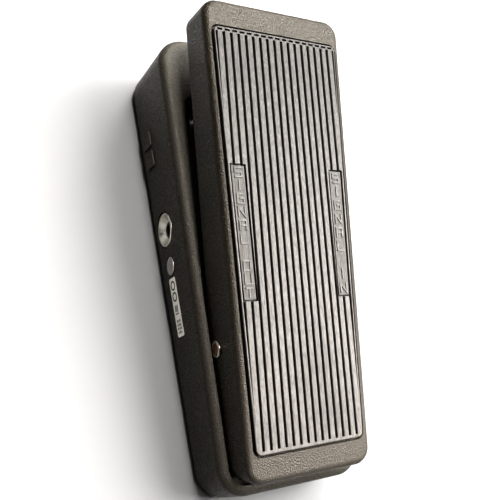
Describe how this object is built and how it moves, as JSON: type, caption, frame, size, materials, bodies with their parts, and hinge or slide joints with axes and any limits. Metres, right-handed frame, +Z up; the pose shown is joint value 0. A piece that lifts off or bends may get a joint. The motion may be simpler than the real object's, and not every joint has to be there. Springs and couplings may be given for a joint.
{
  "type": "volume pedal",
  "caption": "Foot-operated volume pedal: a ribbed rocking treadle on a tapered housing turns a potentiometer through a rack and pinion.",
  "frame": {"origin": "on the floor, under the middle of the housing's bounding box", "axes": "+X to the player's right (input side), +Y towards the toe end, +Z up"},
  "size_m": [0.1056, 0.254, 0.0895],
  "materials": {
    "coated_casting": "textured powder coat on die-cast aluminium",
    "coated_sheet": "fine matt black coat on steel sheet",
    "foot_rubber": "matt",
    "tread_rubber": "matt, lighter where feet have rubbed the ribs",
    "label_film": "printed film",
    "bright_metal": "bright nickel",
    "bushing_nylon": "natural nylon",
    "plated_steel": "zinc plated",
    "spring_steel": "oiled black",
    "pot_case": "stamped and satin",
    "tinned_brass": "tinned",
    "jack_moulding": "moulded black",
    "board_laminate": "green solder mask",
    "capacitor_dip": "dipped resin",
    "resistor_body": "lacquered",
    "header_plastic": "moulded",
    "wire_sleeve": "insulated wire",
    "rack_nylon": "natural nylon",
    "pinion_brass": "hobbed"
  },
  "bodies": {
    "housing": {"base_shell": "coated_casting", "bottom_plate": "coated_sheet", "rubber_feet": "foot_rubber", "foot_screws": "plated_steel", "toe_bumpers": "foot_rubber", "heel_bumpers": "foot_rubber", "rating_label": "label_film", "hole_plug": "bright_metal", "pivot_bushings": "bushing_nylon", "friction_block": "bushing_nylon", "tension_plate": "plated_steel", "tension_bolts": "plated_steel", "rack_guide": "bushing_nylon", "guide_screw": "plated_steel", "pot_bracket": "plated_steel", "bracket_screws": "plated_steel", "potentiometer": "pot_case", "pot_lugs": "tinned_brass", "pot_nut": "plated_steel", "output_jack_body": "jack_moulding", "output_jack_ring": "bright_metal", "input_jack_body": "jack_moulding", "input_jack_ring": "bright_metal", "circuit_board": "board_laminate", "film_capacitors": "capacitor_dip", "resistors": "resistor_body", "wire_header": "header_plastic", "hookup_wires": "wire_sleeve"},
    "treadle": {"treadle": "coated_casting", "rubber_tread": "tread_rubber", "pivot_shaft": "plated_steel", "pivot_caps": "bright_metal", "link_pin": "plated_steel", "pin_clips": "spring_steel"},
    "rack": {"gear_rack": "rack_nylon"},
    "pinion": {"pinion_gear": "pinion_brass", "pinion_set_screw": "plated_steel", "pot_shaft": "plated_steel"}
  },
  "joints": [
    {"name": "treadle_rock", "type": "hinge", "parent": "housing", "child": "treadle", "pos_m": [0, -0.053, 0.04], "axis": [1, 0, 0], "range_deg": [-5.4, 6.4]},
    {"name": "rack_slide", "type": "slide", "parent": "housing", "child": "rack", "axis": [0, -0.2267, 0.974], "range_m": [-0.01054, 0.01249]},
    {"name": "pinion_spin", "type": "hinge", "parent": "housing", "child": "pinion", "pos_m": [-0.0205, 0.072, 0.035], "axis": [1, 0, 0], "range_deg": [-119.25, 100.65]}
  ],
  "couplings": [
    {"joint": "rack_slide", "follows": "treadle_rock", "m_per_rad": 0.11161},
    {"joint": "pinion_spin", "follows": "treadle_rock", "ratio": -18.602}
  ]
}
